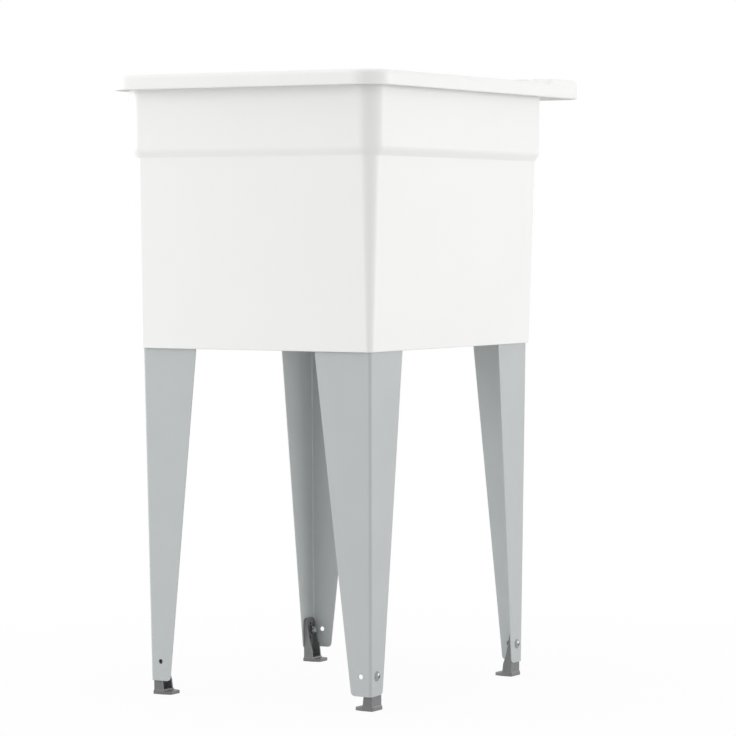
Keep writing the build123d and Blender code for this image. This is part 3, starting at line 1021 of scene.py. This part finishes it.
    def build(self) -> None:
        """Make an upright for each hand and one base, and weld copies of them at each corner."""
        uprights = {away: self.upright(away) for away in (-1, 1)}
        base = self.base()
        for corner in Corner:
            away = corner.side * corner.end
            screw = self.stance.screw(corner) @ Matrix.Translation((self.web_outer, 0, 0))
            sole = screw @ Vector((0, away * self.shift, -self.sole_drop))
            inwards = Matrix.Rotation(0 if corner.side < 0 else math.pi, 4, "Z")
            on_floor = Matrix.Translation((sole.x, sole.y, 0)) @ inwards
            foot = uprights[away].copy().place(screw).join(base.copy().place(on_floor))
            with foot.editing():
                foot.close_seams()
            foot.soften(self.edge_ease)
            node = "foot_" + corner.label
            fit_out(foot, "levelling_" + node, self.finish, node, node)
        for used in (*uprights.values(), base):
            bpy.data.objects.remove(used.obj)


@dataclass
class FootFasteners:
    """The screw, washer and nut that clamp each foot to its leg, modelled along Z."""

    stance: Stance
    finish: Finish = ZINC
    head_r: float = 6.8 * MM
    head_height: float = 3.6 * MM
    head_sides: int = 48
    brim: float = 0.5 * MM
    driver_width: float = 1.3 * MM
    driver_length: float = 6.4 * MM
    driver_depth: float = 2.0 * MM
    driver_taper: float = 0.55
    shank_r: float = 3.175 * MM
    root_r: float = 2.45 * MM
    pitch: float = 1.27 * MM
    length: float = 15.9 * MM
    point_ease: float = 0.8 * MM
    washer_seat: float = 4.7 * MM
    washer_r: float = 7.9 * MM
    washer_hole_r: float = 3.5 * MM
    washer_thickness: float = 1.2 * MM
    washer_ease: float = 0.24 * MM
    nut_across: float = 11.1 * MM
    nut_height: float = 5.6 * MM
    nut_bore_r: float = 3.2 * MM
    nut_chamfer: float = 0.5 * MM
    turns: tuple[float, ...] = (0.4, 0.9, 0.2, 1.2)  # how each screw was left, in radians

    def head(self) -> Workpiece:
        """The screw's domed head, below Z = 0, with its cross recess.

        Returns:
            The head.
        """
        dome = self.head_height - self.brim
        ball = (self.head_r**2 + dome**2) / (2 * dome)
        bpy.ops.object.select_all(action="DESELECT")
        bpy.ops.mesh.primitive_uv_sphere_add(
            segments=self.head_sides, ring_count=2 * self.head_sides, radius=ball,
            location=(0, 0, ball - self.head_height)
        )
        head = Workpiece()
        with head.editing():
            head.saw((0, 0, -self.brim), (0, 0, 1))
            head.pick_faces(lambda middle, normal: normal.z > FACING)
            head.pull((0, 0, self.brim))
            head.close_seams()
        return head.cut(self.blade(0), self.blade(math.pi / 2))

    def blade(self, turn: float) -> Workpiece:
        """One tapered arm of the cross recess.

        Args:
            turn: Its turn about Z.

        Returns:
            The blade that cuts the arm.
        """
        x, y, taper = self.driver_length / 2, self.driver_width / 2, self.driver_taper
        bottom = -self.head_height + self.driver_depth
        blade = Workpiece.block((-x, -y, -self.head_height - MARGIN), (x, y, bottom))
        with blade.editing():
            blade.pick_faces(lambda middle, normal: normal.z > FACING)
            bpy.ops.transform.resize(value=(taper, taper, 1), center_override=(0, 0, bottom))
        return blade.place(Matrix.Rotation(turn, 4, "Z"))

    def screw(self) -> Workpiece:
        """The whole screw, with its head below Z = 0 and its thread above.

        Returns:
            The screw.
        """
        end, wide = self.length, 2 * self.shank_r
        shank = Workpiece.threaded(self.shank_r, self.root_r, self.pitch, -self.brim, end)
        pointed = Workpiece.turned([
            Turn(0, -MARGIN), Turn(wide, -MARGIN), Turn(wide, end - self.point_ease - self.shank_r),
            Turn(self.shank_r - self.point_ease, end), Turn(0, end),
        ])
        return self.head().join(shank.combine("INTERSECT", pointed))

    def washer(self) -> Workpiece:
        """The flat washer on its seat."""
        heights = self.washer_seat, self.washer_seat + self.washer_thickness
        return Workpiece.ring((self.washer_hole_r, self.washer_r), heights, self.washer_ease)

    def nut(self) -> Workpiece:
        """The hexagon nut on the washer, with its corners turned off and its bore.

        Returns:
            The nut.
        """
        low = self.washer_seat + self.washer_thickness
        high = low + self.nut_height
        nut = Workpiece.hexagon(self.nut_across, (low, high))
        bore, chamfer = self.nut_bore_r, self.nut_chamfer
        mouth, start, end = bore + chamfer + MARGIN, low - MARGIN, high + MARGIN
        return nut.cut(Workpiece.turned([
            Turn(0, start), Turn(mouth, start), Turn(bore, low + chamfer),
            Turn(bore, high - chamfer), Turn(mouth, end), Turn(0, end),
        ]))

    def build(self) -> None:
        """Make each fastener once, and put a copy of it at each foot."""
        masters = {"screw": self.screw(), "washer": self.washer(), "nut": self.nut()}
        for master in masters.values():
            master.soften()
        for corner, turn in zip(Corner, self.turns):
            inwards = self.stance.screw(corner) @ Matrix.Rotation(math.pi / 2, 4, "Y")
            for kind, master in masters.items():
                piece = master.copy().place(inwards @ Matrix.Rotation(turn, 4, "Z"))
                name = f"foot_{kind}_{corner.label}"
                fit_out(piece, name, self.finish, "root", f"foot_{kind}s")
        for master in masters.values():
            bpy.data.objects.remove(master.obj)


@dataclass
class Drain:
    """The strainer drain in the tub's floor, with its gasket, washer and locknut."""

    finish: Finish = STAINLESS
    flange_r: float = 38.0 * MM
    flange_thickness: float = 2.5 * MM
    bore_r: float = 19.5 * MM
    seat_r: float = 21.6 * MM
    seat_depth: float = 13.0 * MM
    seat_ease: float = 0.8 * MM
    flange_ease: float = 1.2 * MM
    mouth_ease: float = 0.3 * MM
    tail_r: float = 23.9 * MM
    root_r: float = 22.8 * MM
    tube_r: float = 23.0 * MM
    pitch: float = 2.209 * MM
    run_in: float = 0.4 * MM
    groove_r: float = 22.5 * MM
    groove_low: float = 21.5 * MM  # above the tail's end
    groove_height: float = 2.0 * MM
    bar_width: float = 3.5 * MM
    bar_height: float = 4.0 * MM
    bar_gap: float = 0.3 * MM  # below the foot of the seat
    bar_ease: float = 1.0 * MM
    hub_r: float = 5.0 * MM
    hub_lip: float = 0.2 * MM
    ring_gap: float = 0.3 * MM
    gasket_ease: float = 1.2 * MM
    washer_ease: float = 0.25 * MM
    nut_across: float = 62.0 * MM
    nut_bore_r: float = 23.95 * MM
    nut_chamfer: float = 1.2 * MM
    nut_ease: float = 0.5 * MM
    steps: int = 96  # in a full turn
    thread_steps: int = 72

    def axis(self) -> Matrix:
        """Frame on the drain's axis, at the height of the floor under the sink."""
        low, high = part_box("drain_body")
        return Matrix.Translation(((low.x + high.x) / 2, (low.y + high.y) / 2, 0))

    def body(self) -> Workpiece:
        """The strainer: flange, seat, threaded tail and crossbars.

        Returns:
            The drain body, about Z.
        """
        low, high = (corner.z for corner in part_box("drain_body"))
        under, seat = high - self.flange_thickness, high - self.seat_depth
        groove_low = low + self.groove_low
        groove_high = groove_low + self.groove_height
        strainer = Workpiece.turned([
            Turn(self.bore_r, low, self.mouth_ease), Turn(self.tube_r, low, self.mouth_ease),
            Turn(self.tube_r, groove_low), Turn(self.groove_r, groove_low),
            Turn(self.groove_r, groove_high), Turn(self.tube_r, groove_high), Turn(self.tube_r, under),
            Turn(self.flange_r, under, self.mouth_ease), Turn(self.flange_r, high, self.flange_ease),
            Turn(self.seat_r, high, self.seat_ease), Turn(self.bore_r, seat, self.seat_ease),
            Turn(self.bore_r, low),
        ], self.steps)
        outlet_thread = self.thread(low + self.run_in, groove_low - self.run_in)
        nut_thread = self.thread(groove_high + self.run_in, under + self.run_in)
        cross = self.cross(seat - self.bar_gap - self.bar_height)
        return strainer.join(outlet_thread, nut_thread, *cross)

    def thread(self, low: float, high: float) -> Workpiece:
        """A stretch of the tail's thread, without its core.

        Args:
            low: The height of its lower end.
            high: The height of its upper end.

        Returns:
            The thread, about Z.
        """
        thread = Workpiece.threaded(self.tail_r, self.root_r, self.pitch, low, high,
                                    self.thread_steps)
        core_r, length = (self.bore_r + self.root_r) / 2, high - low + 2 * MARGIN
        core = Workpiece.rod(core_r, (0, 0, low - MARGIN), length, sides=self.steps)
        return thread.cut(core)

    def cross(self, low: float) -> list[Workpiece]:
        """The crossbars that hold back what would block the pipe, and their hub.

        Args:
            low: The height of the bars' undersides.

        Returns:
            The four arms in one piece, and the hub.
        """
        half, high = self.bar_width / 2, low + self.bar_height
        arm = (self.bore_r + self.root_r) / 2 - half
        arms = Workpiece.block((-half, -half, low), (half, half, high))
        centre = Vector((0, 0, (low + high) / 2))
        with arms.editing():
            for way in (Vector((1, 0, 0)), Vector((0, 1, 0)), Vector((-1, 0, 0)), Vector((0, -1, 0))):
                arms.pick_faces(lambda middle, normal: near(middle, centre + way * half))
                arms.pull(way * arm)
            arms.pick_edges(lambda a, b: level(a.z, b.z) and (a - b).length > arm / 2)
            bpy.ops.mesh.bevel(offset=self.bar_ease, segments=EASE_STEPS, affect="EDGES")
        hub_low, hub_high, ease = low - self.hub_lip, high + self.hub_lip, self.bar_ease
        hub = Workpiece.turned([
            Turn(0, hub_low), Turn(self.hub_r, hub_low, ease),
            Turn(self.hub_r, hub_high, ease), Turn(0, hub_high),
        ])
        return [arms, hub]

    def ring(self, node: str, ease: float) -> Workpiece:
        """A flat ring around the tail, of a packed ring's size.

        Args:
            node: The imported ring.
            ease: How far its edges are rounded.

        Returns:
            The ring, about Z.
        """
        low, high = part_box(node)
        radii = self.tail_r + self.ring_gap, (high.x - low.x) / 2
        return Workpiece.ring(radii, (low.z, high.z), ease, self.steps)

    def locknut(self) -> Workpiece:
        """The large hexagon nut, with its corners turned off.

        Returns:
            The nut, about Z.
        """
        low, high = (corner.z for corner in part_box("drain_locknut"))
        nut = Workpiece.hexagon(self.nut_across, (low, high), math.pi / 6, self.steps)
        bore, mouth = self.nut_bore_r, self.nut_bore_r + self.nut_chamfer
        start, end = low - MARGIN, high + MARGIN
        return nut.cut(Workpiece.turned([
            Turn(0, start), Turn(mouth, start), Turn(mouth, low), Turn(bore, low + self.nut_chamfer),
            Turn(bore, end), Turn(0, end),
        ], self.steps))

    def build(self) -> None:
        """Make the drain's four pieces on its axis."""
        strainer = self.body()
        gasket = self.ring("drain_gasket", self.gasket_ease)
        washer = self.ring("drain_washer", self.washer_ease)
        locknut = self.locknut().soften(self.nut_ease)
        parts = [
            ("drain_strainer", strainer, self.finish, "drain_body"),
            ("drain_rubber_gasket", gasket, GASKET_RUBBER, "drain_gasket"),
            ("drain_fibre_washer", washer, PRESSED_FIBRE, "drain_washer"),
            ("drain_hex_locknut", locknut, NUT_PLASTIC, "drain_locknut"),
        ]
        for name, piece, finish, node in parts:
            piece.soften().place(self.axis())
            fit_out(piece, name, finish, "root", node)


@dataclass
class Stopper:
    """The rubber stopper in the drain: a ribbed plug under a disc, with a knob."""

    finish: Finish = STOPPER_RUBBER
    plug_r_low: float = 19.52 * MM
    plug_r_high: float = 21.3 * MM
    plug_length: float = 11.3 * MM
    groove_depth: float = 0.5 * MM
    grooves: int = 3
    disc_thickness: float = 3.0 * MM
    neck_r: float = 4.0 * MM
    neck_height: float = 8.0 * MM
    knob_r: float = 9.0 * MM
    ease: float = 1.2 * MM
    steps: int = 96  # in a full turn

    def plug(self, low: float) -> list[Turn]:
        """The plug's profile, with its grooves.

        Args:
            low: The height of its lower end.

        Returns:
            The profile's corners, from the axis up to the disc.
        """
        corners = [Turn(0, low), Turn(self.plug_r_low, low, self.ease)]
        step = self.plug_length / (2 * self.grooves + 1)
        widening = (self.plug_r_high - self.plug_r_low) / self.plug_length
        for index in range(self.grooves):
            start = (2 * index + 1.5) * step
            outer = self.plug_r_low + widening * start
            corners.append(Turn(outer, low + start, step / 6))
            corners.append(Turn(outer - self.groove_depth, low + start + step / 2))
            corners.append(Turn(outer + widening * step, low + start + step, step / 6))
        return corners + [Turn(self.plug_r_high, low + self.plug_length)]

    def build(self) -> None:
        """Turn the stopper and set it in the drain."""
        low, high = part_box("drain_stopper")
        disc_r = (high.x - low.x) / 2
        disc_low = low.z + self.plug_length
        disc_high = disc_low + self.disc_thickness
        neck_high = disc_high + self.neck_height
        profile = self.plug(low.z) + [
            Turn(disc_r, disc_low, self.ease / 2), Turn(disc_r, disc_high, self.ease),
            Turn(self.neck_r, disc_high, 2 * self.ease), Turn(self.neck_r, neck_high, self.ease),
            Turn(self.knob_r, neck_high, self.ease), Turn(self.knob_r, high.z, 2 * self.ease),
            Turn(0, high.z),
        ]
        stopper = Workpiece.turned(profile, self.steps).soften()
        stopper.place(Matrix.Translation(((low.x + high.x) / 2, (low.y + high.y) / 2, 0)))
        fit_out(stopper, "rubber_stopper", self.finish, "stopper", "drain_stopper")


# ---- Studio ----
@dataclass(frozen=True)
class Softbox:
    """A square soft light that looks at the sink.

    Args:
        name: The light's name.
        bearing: Its direction from above, in degrees to the right of straight ahead of the front.
        height: Its height above the floor.
        power: Its power in watts.
        size: The length of its sides.
        distance: Its distance from the sink's axis.
    """

    name: str
    bearing: float
    height: float
    power: float
    size: float = 2.4
    distance: float = 4.0

    def hang(self, target: Vector) -> None:
        """Hang the light and aim it.

        Args:
            target: What it looks at.
        """
        bearing = math.radians(self.bearing)
        ahead, right = math.cos(bearing) * self.distance, math.sin(bearing) * self.distance
        place = Vector((right, -ahead, self.height))
        turn = (target - place).to_track_quat("-Z", "Y").to_euler()
        bpy.ops.object.light_add(type="AREA", location=place, rotation=turn)
        light = bpy.context.object
        light.name = self.name
        light.data.energy = self.power
        light.data.size = self.size


@dataclass
class Studio:
    """A white studio: floor, backdrop of light, soft lamps and the camera."""

    floor_size: float = 40.0
    floor_tiles: int = 8  # along each side
    floor_color: float = 0.75
    floor_shadow: float = 0.06  # how much of the floor's own shading the camera sees by the feet
    shadow_near: float = 0.35  # that share fades between these two distances from the sink's axis
    shadow_far: float = 1.1
    ambient_horizon: float = 1.12  # the world's light, level with the sink
    ambient_zenith: float = 0.57  # and from straight above
    softboxes: tuple[Softbox, ...] = (
        Softbox("softbox_left", -68.0, 0.9, 94.0),
        Softbox("softbox_right", 129.0, 0.6, 52.0),
        Softbox("softbox_above", 0.0, 3.6, 20.0, distance=0.2),
    )
    camera_place: tuple[float, float, float] = (2.3833, -4.1075, 0.6475)
    camera_look: tuple[float, float, float] = (-0.49737, 0.86657, -0.04095)
    lens: float = 161.5

    def seen_white(self, graph: Graph) -> Socket:
        """Wire a mask of the rays that see the studio as white.

        Args:
            graph: The graph of the floor's material or of the world.

        Returns:
            A socket that is 1 for camera, glossy and transmitted rays.
        """
        path = graph.add("LightPath").outputs
        seen = path["Is Camera Ray"]
        for ray in ("Is Glossy Ray", "Is Transmission Ray"):
            seen = graph.math("MAXIMUM", seen, path[ray])
        return seen

    def lay_floor(self) -> None:
        """Lay the floor, which keeps a faint shadow."""
        bpy.ops.object.select_all(action="DESELECT")
        tiles = self.floor_tiles
        bpy.ops.mesh.primitive_grid_add(x_subdivisions=tiles, y_subdivisions=tiles, size=self.floor_size)
        floor = Workpiece().obj
        floor.name = floor.data.name = "studio_floor"
        material = bpy.data.materials.new("studio_floor")
        material.use_nodes = True
        nodes = material.node_tree.nodes
        graph = Graph(material.node_tree)
        shader = nodes["Principled BSDF"]
        grey = self.floor_color
        graph.feed(shader, {"Base Color": (grey, grey, grey, 1.0), "Roughness": 0.9,
                            "Specular IOR Level": 0.0})
        white = graph.add("Emission", {"Color": (1.0, 1.0, 1.0, 1.0), "Strength": 1.0})
        place = graph.add("TexCoord").outputs["Object"]
        away = graph.add("VectorMath", {0: place}, operation="LENGTH").outputs["Value"]
        plain = graph.add("MapRange", {"Value": away, "To Min": 1.0 - self.floor_shadow, "To Max": 1.0,
                                       "From Min": self.shadow_near, "From Max": self.shadow_far})
        share = graph.math("MULTIPLY", self.seen_white(graph), plain.outputs["Result"])
        mixed = graph.add("MixShader", {0: share, 1: shader.outputs[0], 2: white.outputs[0]})
        graph.feed(nodes["Material Output"], {"Surface": mixed.outputs[0]})
        floor.data.materials.append(material)

    def light_world(self) -> None:
        """Make the world white to look at, and as a light brighter at the horizon than above."""
        world = bpy.data.worlds.new("studio")
        world.use_nodes = True
        bpy.context.scene.world = world
        graph = Graph(world.node_tree)
        background = world.node_tree.nodes["Background"]
        direction = graph.add("SeparateXYZ", {"Vector": graph.add("TexCoord").outputs["Generated"]})
        light = graph.add("MapRange", {"Value": direction.outputs["Z"], "To Max": self.ambient_zenith,
                                       "To Min": self.ambient_horizon})
        strength = graph.add("MapRange", {"Value": self.seen_white(graph), "To Max": 1.0,
                                          "To Min": light.outputs["Result"]})
        graph.feed(background, {"Color": (1.0, 1.0, 1.0, 1.0), "Strength": strength.outputs["Result"]})

    def set_camera(self) -> None:
        """Stand the camera where the photograph was taken from."""
        bpy.ops.object.camera_add(location=self.camera_place)
        camera = bpy.context.object
        camera.name = "studio_camera"
        camera.rotation_euler = Vector(self.camera_look).to_track_quat("-Z", "Y").to_euler()
        camera.data.lens = self.lens
        bpy.context.scene.camera = camera

    def build(self) -> None:
        """Set up the whole studio."""
        self.lay_floor()
        self.light_world()
        low, high = cad_box
        for softbox in self.softboxes:
            softbox.hang((low + high) / 2)
        self.set_camera()
        bpy.context.scene.view_settings.view_transform = "Standard"
        log.info("studio: %d softboxes", len(self.softboxes))


def main() -> None:
    """Build the studio and every sub-assembly of the sink."""
    logging.basicConfig(level=logging.INFO, format="%(name)s: %(message)s")
    stance = Stance()
    on_legs = (Legs(stance), Feet(stance), FootFasteners(stance))
    for assembly in (Studio(), Tub(), *on_legs, Drain(), Stopper()):
        assembly.build()


if __name__ == "__main__":
    main()
